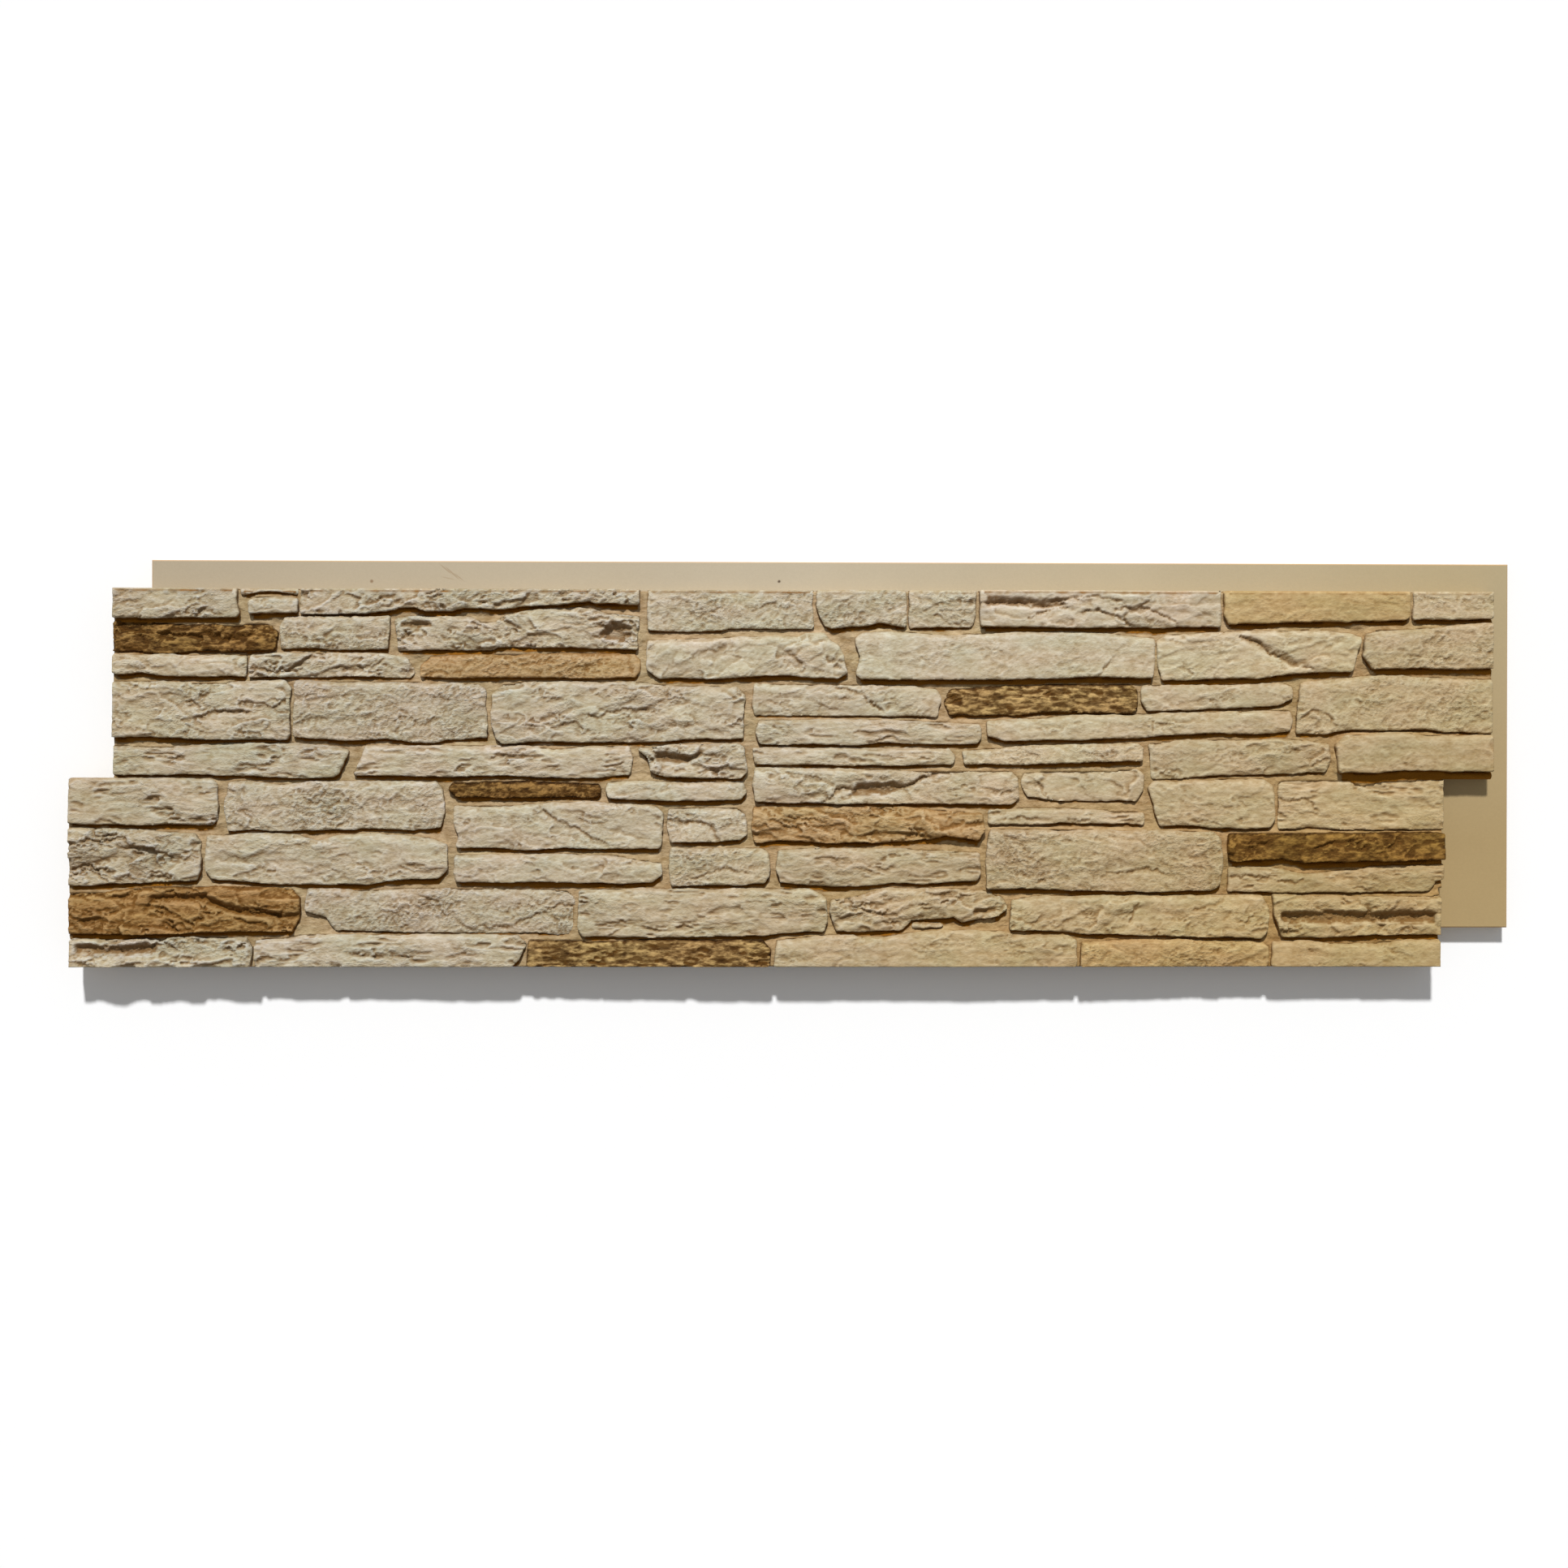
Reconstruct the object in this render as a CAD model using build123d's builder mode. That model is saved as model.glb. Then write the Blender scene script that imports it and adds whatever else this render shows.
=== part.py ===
# Moulded wall panel faced like stacked split stone, lying on its back with the stones up (+Z).
# X runs along the courses and Y up the wall; the origin is under the middle of the back.
import os
from build123d import *

# Whole panel
overall_length = 1105.0
overall_height = 311.0
overall_thickness = 32.0

# Back plate, which shows as the nailing flange above and to the right of the stones
flange_thickness = 12.7
flange_edge = 0.8
left_lap = 58.0
bottom_lap = 29.0
lap_clearance = 1.0

# Stone face: stepped at both ends, so that neighbouring panels lock like brickwork
top_flange = 22.7
step_height = 144.0
upper_left_step = 33.0
upper_right_flange = 17.4
middle_right_flange = 54.0
lower_right_flange = 57.0
lower_step_height = 60.0

# Stones
joint_depth = 10.0
side_taper = 9.0
edge_break = 1.3
root_depth = 2.0

# The stones are drawn on a panel of this size, from its lower left corner, and scaled to fit
drawn_length = 1110.0
drawn_height = 312.4

# Each stone is its height above the mortar and its outline. Outlines at the rim of the face
# run over it and are cut off flush.
top_course = [
    (6.5, [(25, 267), (55, 266), (75, 267), (127, 267), (129, 270), (126, 281), (127, 297), (25, 297)]),
    (7.0, [(137, 270), (173, 271), (173, 281), (160, 283), (140, 282), (136, 279)]),
    (5.0, [(131, 284.5), (140, 286.5), (160, 286.5), (173, 284.5), (173, 297), (131, 297)]),
    (7.0, [(176, 270), (225, 270), (240, 272), (250, 275), (263, 275), (272, 272), (290, 272),
           (300, 275), (327, 274), (345, 276), (378, 278), (395, 280), (405, 278), (433, 278),
           (434, 297), (176, 297)]),
    (3.5, [(441, 258), (465, 257), (497, 258), (502, 260), (567, 260), (567, 297), (441, 297)]),
    (6.5, [(577, 262), (582, 260), (610, 262), (618, 264), (638, 261), (639, 275), (637, 297),
           (572, 297), (570, 277), (573, 270)]),
    (4.5, [(642, 260), (688, 261), (692, 270), (692, 297), (642, 297)]),
    (8.5, [(697, 262), (720, 261), (780, 261), (881, 262), (881, 297), (696, 297)]),
    (8.0, [(888, 264), (910, 264.5), (950, 266), (1024, 267), (1027, 270), (1028, 297), (884, 297),
           (885, 270)]),
    (8.0, [(1031, 268), (1075, 268), (1101, 270), (1101, 297), (1031, 297), (1032, 279)]),
]
second_course = [
    (4.0, [(25, 241), (75, 240), (108, 241), (155, 242), (158, 255), (150, 262), (100, 261),
           (58, 263), (25, 263)]),
    (5.5, [(161, 243), (180, 244), (215, 242.5), (242, 243), (243, 268), (180, 268), (164, 267),
           (160.5, 258)]),
    (6.5, [(250, 242), (285, 243), (320, 242.5), (326, 245), (380, 245), (432, 243.5), (433, 268),
           (405, 271), (398, 274), (385, 275.5), (350, 272.5), (330, 268), (325, 264), (316, 263),
           (303, 268), (262, 268), (248, 266)]),
    (6.0, [(450, 221), (500, 221.5), (550, 224), (585, 221.5), (594, 226), (590, 238), (587, 246),
           (580, 250), (575, 256), (562, 256), (556, 253), (516, 253), (441, 249.5), (441, 228)]),
    (7.0, [(605, 221), (700, 221), (785, 223), (829, 222), (830, 252), (795, 256), (765, 258),
           (720, 257), (668, 254), (640, 257), (605, 256), (600, 252), (604, 238), (601, 225)]),
    (7.0, [(837, 221), (910, 222), (940, 226), (982, 228), (985, 235), (990, 254), (980, 257),
           (950, 259), (905, 258.5), (840, 255), (833, 250), (834, 232)]),
    (8.0, [(1000, 230), (1101, 230), (1101, 265.5), (1075, 265), (1050, 261), (1003, 259),
           (995, 256), (992, 240)]),
]
third_course = [
    (7.0, [(25, 226), (40, 223), (55, 225), (70, 223), (134, 221.5), (134.5, 237.5), (60, 238),
           (25, 238)]),
    (5.5, [(137, 221.5), (170, 222), (258, 221.5), (262, 226), (256, 236), (235, 240),
           (200, 239.5), (165, 240), (138, 238)]),
    (5.5, [(268, 222), (300, 221.5), (430, 221.5), (434, 226), (434, 235), (430, 240),
           (365, 240), (340, 239), (275, 238), (267, 230)]),
    (7.0, [(25, 175), (60, 176), (90, 174), (165, 174), (168, 178), (166, 190), (168, 212),
           (163, 218.5), (150, 218.5), (110, 216.5), (25, 218)]),
    (5.5, [(171, 176), (210, 173), (240, 174.5), (260, 172), (275, 171.5), (285, 174), (318, 175),
           (316, 195), (316, 212), (310, 216.5), (172, 218)]),
    (5.5, [(330, 171), (340, 171), (355, 173), (415, 172), (450, 173), (480, 175), (514, 175),
           (514, 195), (515, 207), (508, 214), (460, 215), (432, 218), (356, 218.5), (330, 216),
           (322, 208), (322, 185), (324, 176)]),
    (4.0, [(523, 193), (617, 193), (662, 192.5), (665.5, 205), (662, 213), (640, 216), (523, 217),
           (521, 200)]),
    (4.5, [(674, 193), (730, 194), (760, 196), (814, 195), (817, 200), (817, 212), (813, 217),
           (750, 217), (700, 215), (674, 213), (669, 203)]),
    (4.5, [(826, 197), (850, 197.5), (880, 199), (925, 201), (938, 206), (937, 215), (930, 218),
           (860, 217), (822, 216), (821, 205)]),
    (5.5, [(716, 174), (770, 174.5), (825, 177), (880, 180), (915, 179), (935, 181), (938, 190),
           (936, 197), (880, 196.5), (850, 195), (775, 193), (730, 190), (702, 188), (702, 177)]),
    (5.5, [(941, 180), (965, 180), (975, 182), (1010, 183), (1040, 183), (1060, 181), (1101, 180.5),
           (1101, 221), (1060, 222), (1010, 225), (975, 222), (945, 218), (942, 200)]),
]
fourth_course = [
    (5.5, [(25, 147), (105, 147), (160, 145), (200, 145), (205, 148), (212, 165), (205, 168),
           (170, 171), (120, 171), (60, 167), (25, 170)]),
    (6.0, [(216, 146.5), (285, 145.5), (330, 146), (400, 145), (426, 147), (429, 160), (426, 169),
           (395, 169), (370, 166), (345, 169), (225, 169), (223, 160)]),
    (7.0, [(455, 146), (480, 145), (512, 144.5), (516, 150), (515, 168), (510, 171), (460, 170),
           (433, 167), (441, 160), (444, 150)]),
    (6.5, [(411, 129), (460, 127), (512, 128.5), (516, 134), (513, 142), (470, 141), (430, 142.5),
           (410, 141), (408.5, 135)]),
    (5.5, [(527, 171), (600, 170.5), (620, 172), (694, 171), (697, 176), (695, 186), (640, 189),
           (600, 189.5), (526, 189), (524, 180)]),
    (5.0, [(523, 155.5), (580, 155), (640, 154.5), (674, 156), (676, 161), (672, 167.5),
           (600, 168), (521.5, 168)]),
    (5.5, [(685, 155.5), (720, 155.5), (821, 158.5), (822, 168), (818, 171.5), (740, 170.5),
           (700, 167), (683, 165)]),
    (4.0, [(830, 145), (850, 144.5), (860, 146.5), (930, 148.5), (962, 150), (967, 158),
           (966, 171), (940, 174.5), (880, 175), (850, 174), (827, 171)]),
    (10.0, [(974, 150), (1000, 149.5), (1030, 152), (1060, 151), (1101, 150.5), (1101, 178),
           (1045, 178), (1020, 180), (980, 178), (971, 170)]),
    (7.0, [(-8, 110), (60, 108.5), (108, 108.5), (112, 113), (112, 139), (107, 143.5), (-8, 144)]),
    (5.5, [(121, 104), (140, 105.5), (160, 104), (215, 104.5), (222, 106.5), (260, 105),
           (282, 106), (285, 118), (283, 135), (278, 141.5), (190, 142), (160, 139), (135, 141.5),
           (121, 141), (118, 125)]),
    (6.0, [(296, 129.5), (402, 129.5), (405, 134), (403, 140), (340, 142), (292, 140.5),
           (289.5, 135)]),
]
fifth_course = [
    (6.5, [(295, 92), (350, 90), (400, 91), (449, 91), (451, 97), (452, 117), (447, 123),
           (410, 125), (400, 126), (370, 125.5), (330, 122.5), (293.5, 122.5), (293, 108),
           (297, 100)]),
    (5.5, [(459, 96), (480, 95), (511, 97), (516, 102), (515, 117), (509, 121.5), (457.5, 121),
           (456, 108)]),
    (6.0, [(524, 127), (565, 125.5), (650, 125), (720, 125), (725.5, 130), (725, 145), (720, 150),
           (665, 150), (575, 152), (524, 152), (521.5, 140)]),
    (3.5, [(752, 128), (780, 127.5), (816, 127.5), (822, 136), (822, 147), (817, 151), (730, 149),
           (728.5, 140), (733, 131)]),
    (4.5, [(703.5, 110), (730, 109.5), (765, 110.5), (822, 109.5), (822, 118), (770, 121),
           (740, 122), (703.5, 119.5)]),
    (5.5, [(836, 109), (850, 109), (880, 107), (920, 106.5), (924, 115), (922, 139), (915, 144),
           (880, 144), (850, 142), (830, 142), (827, 137), (833, 116)]),
    (3.0, [(927, 105.5), (950, 107), (985, 106), (1064, 106), (1064, 145), (1010, 143),
           (992, 139), (980, 144), (928, 142.5), (928, 125)]),
    (7.0, [(-8, 62), (20, 62.5), (50, 64), (97, 66), (99, 75), (99, 95), (94, 101), (70, 103),
           (40, 105), (-8, 106)]),
    (6.0, [(108, 67), (140, 64.5), (160, 63.5), (225, 63), (240, 66), (280, 67), (287, 75),
           (286, 93), (275, 98), (230, 101.5), (203, 100), (190, 95), (172, 101), (150, 102),
           (105, 100), (103.5, 75)]),
    (6.5, [(295, 65), (380, 65), (420, 63), (444, 65), (451, 70), (451, 79), (425, 82.5),
           (415, 85), (375, 86), (294, 85), (293, 72)]),
    (6.0, [(460, 62), (480, 62), (530, 63.5), (534, 70), (533, 87), (527, 91), (459, 91),
           (457.5, 75)]),
    (6.5, [(542, 64), (580, 61.5), (600, 62), (630, 65), (650, 63.5), (693, 66), (696, 72),
           (695, 87), (620, 91), (541, 89.5), (540, 75)]),
    (7.0, [(523.5, 95), (550, 97), (575, 95), (620, 95.5), (657, 98), (670, 101.5), (694, 97),
           (698.5, 105), (697, 117), (640, 122.5), (522.5, 122.5), (521.5, 108)]),
    (7.0, [(702, 60), (740, 60), (780, 58.5), (830, 57.5), (875, 59), (881, 63), (883, 80),
           (882, 98), (876, 103), (820, 104.5), (705, 105), (702, 95)]),
    (7.5, [(889, 81), (915, 82), (930, 84), (947, 80), (990, 81), (1040, 82), (1064, 83),
           (1064, 103), (930, 102.5), (889, 102), (888, 90)]),
    (4.5, [(888, 58), (930, 57), (1043, 58), (1049, 66), (1064, 69), (1064, 79), (1030, 78.5),
           (1000, 77), (980, 75), (955, 71), (945, 71), (920, 76.5), (889, 76)]),
]
bottom_courses = [
    (6.5, [(-8, 25), (60, 24.5), (100, 26.5), (169, 27), (174, 38), (175, 52), (169, 59.5),
           (130, 61), (100, 61), (55, 60), (20, 56), (-8, 56)]),
    (3.5, [(203, 28), (240, 26.5), (345, 26), (370, 24.5), (381, 26), (384, 35), (384, 53),
           (377, 58.5), (300, 60), (220, 58), (181, 60), (179, 43), (196, 38)]),
    (5.5, [(392, 23), (530, 23.5), (545, 26), (575, 27), (578, 35), (577, 52), (565, 59.5),
           (440, 59.5), (389, 58.5), (388, 30)]),
    (6.5, [(586, 27), (634, 27.5), (643, 36), (668, 36.5), (676, 38), (683, 34), (710, 39),
           (717, 45), (713, 53), (700, 58), (660, 60), (625, 60), (595, 52), (582, 51), (581, 42)]),
    (3.5, [(644, 30), (666, 30), (669, 32), (664, 34), (647, 34)]),
    (5.5, [(720, 28.5), (765, 27), (780, 24.5), (840, 24), (870, 22.5), (913, 22.5), (918, 28),
           (919, 45), (914, 54.5), (860, 55), (740, 54), (721, 51)]),
    (7.0, [(930, 23), (960, 22.5), (1020, 25), (1061, 24), (1061, 55), (1030, 54), (965, 54),
           (923, 55), (925, 38)]),
    (6.0, [(-8, -8), (135, -8), (138, 14), (134, 22.5), (75, 22), (30, 20), (-8, 21)]),
    (5.5, [(141, -8), (330, -8), (342, 6), (347, 17), (341, 23.5), (260, 24), (200, 24.5),
           (178, 24), (165, 22), (141, 20.5)]),
    (5.0, [(348, -8), (532, -8), (535, 12), (529, 19.5), (440, 20), (420, 19), (350, 20)]),
    (6.0, [(538, -8), (770.5, -8), (770.5, 20), (764, 23), (720, 24.5), (713, 27), (668, 27.5),
           (640, 25), (620, 22), (605, 21), (598, 23.5), (575, 23.5), (540, 20)]),
    (5.5, [(774, -8), (918, -8), (919.5, 14), (914, 19), (860, 20), (800, 20), (775.5, 18)]),
    (5.5, [(923, -8), (1061, -8), (1061, 20), (1020, 19.5), (1000, 17.5), (965, 17), (945, 20),
           (923, 19)]),
]
courses = [top_course, second_course, third_course, fourth_course, fifth_course, bottom_courses]

# Broken places in the stones: height of their floor above the mortar, and outline
breaks = [
    (3.0, [(699, 278), (728, 278), (745, 276.5), (758, 279), (756, 282), (745, 280.5), (728, 283),
           (699, 283.5)]),
    (2.5, [(252, 261), (262, 259), (275, 261), (272, 265), (256, 265)]),
    (2.5, [(404, 253), (424, 251), (429, 260), (413, 264)]),
    (3.5, [(897, 253), (921, 240), (937, 232), (950, 230), (950, 233), (938, 236), (923, 244),
           (900, 257)]),
    (2.5, [(446, 158), (470, 157), (474, 161), (447, 164)]),
    (2.0, [(598, 133), (624, 134), (640, 139), (624, 141), (601, 140)]),
    (2.0, [(62, 50), (97, 51), (124, 41), (160, 38.5), (160, 42), (128, 45), (100, 55), (62, 54)]),
    (1.5, [(930, 35), (962, 34), (1000, 35.5), (1075, 34), (1075, 42), (1000, 41), (960, 42),
           (930, 41)]),
    (1.5, [(-15, 11), (60, 10.5), (66, 14), (60, 17), (-15, 17)]),
    (1.5, [(688, 36.5), (705, 39), (709, 44), (693, 43)]),
]

left_x = -overall_length / 2
foot_y = -overall_height / 2
right_x = left_x + overall_length
head_y = foot_y + overall_height
bed_level = overall_thickness - joint_depth
lap_level = flange_thickness + lap_clearance
face_head_y = head_y - top_flange
tallest_stone = max(rise for course in courses for rise, outline in course)


def on_panel(outline):
    """Stretches drawn points to the panel and moves them from its corner to its middle."""
    return [
        (left_x + x * overall_length / drawn_length, foot_y + y * overall_height / drawn_height)
        for x, y in outline
    ]


def stone_height(rise):
    """The tallest stone reaches the front of the panel and the others keep their share of it."""
    return rise * joint_depth / tallest_stone


plate_length = overall_length - left_lap
plate_height = overall_height - bottom_lap

with BuildSketch() as face_shape:
    with BuildLine():
        Polyline(
            (left_x, foot_y),
            (right_x - lower_right_flange, foot_y),
            (right_x - lower_right_flange, foot_y + lower_step_height),
            (right_x - middle_right_flange, foot_y + lower_step_height),
            (right_x - middle_right_flange, foot_y + step_height),
            (right_x - upper_right_flange, foot_y + step_height),
            (right_x - upper_right_flange, face_head_y),
            (left_x + upper_left_step, face_head_y),
            (left_x + upper_left_step, foot_y + step_height),
            (left_x, foot_y + step_height),
            close=True,
        )
    make_face()

with BuildSketch() as plate_shape:
    with Locations((right_x - plate_length / 2, head_y - plate_height / 2)):
        Rectangle(plate_length, plate_height)


def stone_solid(rise, outline):
    """One stone, narrowing towards its front and with a broken edge round it."""
    with BuildPart(mode=Mode.PRIVATE) as stone:
        with BuildSketch(Plane.XY.offset(bed_level - root_depth)):
            with BuildLine():
                Polyline(*on_panel(outline), close=True)
            make_face()
        extrude(amount=root_depth + stone_height(rise) - edge_break, taper=side_taper)
        extrude(stone.faces().sort_by(Axis.Z)[-1], amount=edge_break, taper=45)
    return stone.part


# Stones with their broken places, cut flush at the rim of the face
with BuildPart() as stones:
    add([stone_solid(rise, outline) for course in courses for rise, outline in course])
    for floor, outline in breaks:
        with BuildSketch(Plane.XY.offset(bed_level + stone_height(floor))):
            with BuildLine():
                Polyline(*on_panel(outline), close=True)
            make_face()
        extrude(amount=joint_depth, taper=-side_taper, mode=Mode.SUBTRACT)
    with BuildSketch(Plane.XY.offset(lap_level)):
        add(face_shape)
    extrude(amount=overall_thickness, mode=Mode.INTERSECT)

# Panel: the back plate, the mortar bed that laps past it, and the stones
with BuildPart() as stone_panel:
    with BuildSketch():
        add(plate_shape)
    extrude(amount=flange_thickness)
    chamfer(stone_panel.faces().sort_by(Axis.Z)[-1].edges(), length=flange_edge)
    with BuildSketch(Plane.XY.offset(flange_thickness / 2)):
        add(face_shape)
        add(plate_shape, mode=Mode.INTERSECT)
    extrude(amount=bed_level - flange_thickness / 2)
    with BuildSketch(Plane.XY.offset(lap_level)):
        add(face_shape)
    extrude(amount=bed_level - lap_level)
    add(stones)

stone_panel.part.label = "stone_panel"

os.makedirs("parts", exist_ok=True)
export_step(stone_panel.part, "parts/stone_panel.step")
print("stone_panel", stone_panel.part.volume, stone_panel.part.is_valid)
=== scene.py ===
import math

import bmesh
import bpy
import numpy as np
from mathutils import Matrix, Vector
from mathutils.bvhtree import BVHTree


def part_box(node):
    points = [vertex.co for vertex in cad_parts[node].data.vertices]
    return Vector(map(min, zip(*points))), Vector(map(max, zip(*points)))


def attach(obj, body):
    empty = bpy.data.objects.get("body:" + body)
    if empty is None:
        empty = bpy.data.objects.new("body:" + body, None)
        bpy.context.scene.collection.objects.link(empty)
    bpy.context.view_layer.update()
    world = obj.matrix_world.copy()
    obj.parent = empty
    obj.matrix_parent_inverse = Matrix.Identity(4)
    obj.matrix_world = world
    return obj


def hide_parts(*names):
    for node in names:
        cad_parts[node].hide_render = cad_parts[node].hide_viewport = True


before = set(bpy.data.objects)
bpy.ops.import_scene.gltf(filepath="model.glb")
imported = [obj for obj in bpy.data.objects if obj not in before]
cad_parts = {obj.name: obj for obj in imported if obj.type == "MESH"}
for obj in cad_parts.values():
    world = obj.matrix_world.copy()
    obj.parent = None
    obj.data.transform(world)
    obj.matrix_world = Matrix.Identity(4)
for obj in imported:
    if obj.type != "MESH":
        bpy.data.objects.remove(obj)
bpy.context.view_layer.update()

mm = 0.001
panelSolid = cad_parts["stone_panel"]
panelLow, panelHigh = [np.array(corner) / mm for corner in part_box("stone_panel")]

# Places on the panel are in millimetres from its lower left corner, seen from the front,
# and heights are in millimetres above its back.
panel = {
    "bedLevel": 22.0,  # the mortar of the solid
    "backingTop": 19.0,  # the plain backing ends here, under mortar and stones
    "rimTop": 288.3,  # head of the stone face
    "rimSteps": (0.0, 33.0, 1048.0, 1051.0, 1087.6),
    "rimStep": 144.0,  # height of the step at both ends
    "rimSlack": 0.05,  # a point this near to the rim lies on it
    "drawnScale": 1105 / 1110,  # places on stones are drawn on a panel 1110 long, as in the solid
}

bpy.ops.object.select_all(action="DESELECT")
bpy.context.scene.view_settings.view_transform = "Standard"


def srgb(red, green, blue):
    # a colour given 0 to 255, as the linear colour that materials take
    return np.array([((c / 255 + 0.055) / 1.055) ** 2.4 for c in (red, green, blue)])


def smooth(low, high, value):
    t = np.clip((value - low) / (high - low), 0, 1)
    return t * t * (3 - 2 * t)


# Noise that the stones are carved with. Each seed reads another part of the same lattice.

latticeSize = 256
dice = np.random.default_rng(11)
latticeAngle = dice.uniform(0, 2 * math.pi, (latticeSize, latticeSize))
latticeX = np.cos(latticeAngle)
latticeY = np.sin(latticeAngle)
cellJitter = dice.uniform(0.1, 0.9, (4, latticeSize, latticeSize))


def softNoise(x, y, seed):
    # gradient noise of about -1 to 1, one wave per unit
    cellX = np.floor(x).astype(int)
    cellY = np.floor(y).astype(int)
    fx = x - cellX
    fy = y - cellY
    cellX = cellX + seed * 57
    cellY = cellY + seed * 131

    def corner(i, j):
        column = (cellX + i) % latticeSize
        row = (cellY + j) % latticeSize
        return latticeX[column, row] * (fx - i) + latticeY[column, row] * (fy - j)

    ux = fx * fx * fx * (fx * (fx * 6 - 15) + 10)
    uy = fy * fy * fy * (fy * (fy * 6 - 15) + 10)
    low = corner(0, 0) + (corner(1, 0) - corner(0, 0)) * ux
    high = corner(0, 1) + (corner(1, 1) - corner(0, 1)) * ux
    return (low + (high - low) * uy) * 1.5


def roughNoise(x, y, seed, layers, fade=0.5):
    # soft noise in layers, each twice as fine as the last
    total = 0
    for layer in range(layers):
        total = total + softNoise(x * 2 ** layer, y * 2 ** layer, seed + layer * 3) * fade ** layer
    return total


def crests(x, y, seed, layers, fade):
    # smooth hollows that meet in sharp crests, as a split face has
    total = 0
    for layer in range(layers):
        finer = 2.1 ** layer
        total = total - np.abs(softNoise(x * finer, y * finer, seed + layer * 5)) * fade ** layer
    return total


def facets(x, y, seed, blend):
    # split planes: each cell of the pattern has its own height and lean, and where two meet
    # one blends into the other over this width
    cellX = np.floor(x).astype(int)
    cellY = np.floor(y).astype(int)
    nearest = np.full(x.shape, np.inf)
    second = np.full(x.shape, np.inf)
    plane = np.zeros(x.shape)
    nextPlane = np.zeros(x.shape)
    for i in (-1, 0, 1):
        for j in (-1, 0, 1):
            column = (cellX + i + seed * 31) % latticeSize
            row = (cellY + j + seed * 17) % latticeSize
            awayX = x - (cellX + i + cellJitter[0, column, row])
            awayY = y - (cellY + j + cellJitter[1, column, row])
            away = awayX * awayX + awayY * awayY
            lean = (cellJitter[2, column, row] - 0.5) * awayX + (cellJitter[3, column, row] - 0.5) * awayY
            height = cellJitter[3, row, column] - 0.5 + lean * 1.6
            closer = away < nearest
            between = ~closer & (away < second)
            nextPlane = np.where(closer, plane, np.where(between, height, nextPlane))
            second = np.where(closer, nearest, np.where(between, away, second))
            plane = np.where(closer, height, plane)
            nearest = np.where(closer, away, nearest)
    share = 0.5 + 0.5 * smooth(0, blend, np.sqrt(second) - np.sqrt(nearest))
    return plane * share + nextPlane * (1 - share)


def layered(value, front=0.86):
    # lies in thin layers, each with a steep front where the value rises past a whole number
    base = np.floor(value)
    return base + smooth(front, 1.0, value - base) - value


# Stones: what they are like and which is which. A kind says how far its broad planes differ in
# height and how wide they are, how much its face has of cut facets, crests and thin layers, how
# long these are drawn out, how steep the carved face is on average, how far its grain may turn
# from the course, and how strong the fine grain is.

stoneKinds = {
    "cleft": {"plane": 1.3, "planeSize": 34, "cut": 0.9, "crest": 0.6, "layer": 0.9, "long": 1.8,
              "slope": 0.15, "slant": 0.30, "grit": 0.80},
    "smooth": {"plane": 0.9, "planeSize": 46, "cut": 0.5, "crest": 0.6, "layer": 0.6, "long": 2.0,
               "slope": 0.10, "slant": 0.25, "grit": 0.60},
    "plain": {"plane": 0.6, "planeSize": 60, "cut": 0.2, "crest": 0.8, "layer": 0.1, "long": 1.6,
              "slope": 0.06, "slant": 0.40, "grit": 0.55},
    "hewn": {"plane": 2.6, "planeSize": 40, "cut": 0.8, "crest": 0.4, "layer": 0.5, "long": 1.6,
             "slope": 0.10, "slant": 0.50, "grit": 0.50},
    "granular": {"plane": 0.7, "planeSize": 40, "cut": 0.4, "crest": 1.0, "layer": 0.5, "long": 1.3,
                 "slope": 0.12, "slant": 0.45, "grit": 1.00},
    "striated": {"plane": 0.6, "planeSize": 50, "cut": 0.3, "crest": 0.5, "layer": 1.2, "long": 4.5,
                 "slope": 0.16, "slant": 0.06, "grit": 0.75},
    "craggy": {"plane": 2.2, "planeSize": 22, "cut": 1.2, "crest": 0.7, "layer": 1.3, "long": 1.9,
               "slope": 0.26, "slant": 0.25, "grit": 1.00},
}

# Each paint is its colour in the low places and on the high ones, and how mottled it is
stonePaints = {
    "cream": (srgb(175, 163, 139), srgb(192, 185, 166), 0.55),
    "tan": (srgb(172, 148, 106), srgb(190, 170, 128), 0.5),
    "amber": (srgb(152, 120, 78), srgb(184, 159, 120), 0.6),
    "rust": (srgb(116, 82, 40), srgb(168, 134, 86), 0.75),
    "umber": (srgb(78, 52, 22), srgb(178, 148, 98), 1.5),
    "bark": (srgb(60, 38, 12), srgb(148, 114, 64), 1.5),
    "drab": (srgb(82, 58, 22), srgb(144, 112, 58), 1.2),
}

kindOf = {
    "plain": [(955, 278), (1035, 165), (715, 240)],
    "smooth": [(155, 276), (910, 240), (100, 230), (590, 205), (880, 208), (830, 186),
               (460, 135), (370, 105), (880, 125), (200, 80), (370, 75), (650, 12), (990, 8)],
    "granular": [(500, 280), (605, 280), (665, 280), (1060, 280), (200, 255), (1050, 245), (350, 230),
                 (245, 195), (1020, 200), (750, 164), (200, 125), (350, 135), (485, 110),
                 (495, 78), (790, 80), (280, 45), (850, 8)],
    "hewn": [(790, 278), (520, 235), (780, 140)],
    "striated": [(745, 205), (110, 158), (320, 158), (610, 180), (600, 162), (50, 125), (760, 115),
                 (990, 125), (620, 78), (970, 67), (480, 40), (240, 12), (440, 8)],
    "craggy": [(150, 290), (300, 281), (90, 252), (340, 258), (200, 230), (480, 158), (610, 110),
               (990, 92), (40, 84), (70, 42), (650, 48), (990, 30), (60, 8)],
}

paintOf = {
    "tan": [(955, 278), (850, 8)],
    "amber": [(350, 230), (610, 110)],
    "rust": [(70, 42)],
    "umber": [(745, 205), (440, 8)],
    "bark": [(90, 252), (350, 135)],
    "drab": [(990, 92)],
}

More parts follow.
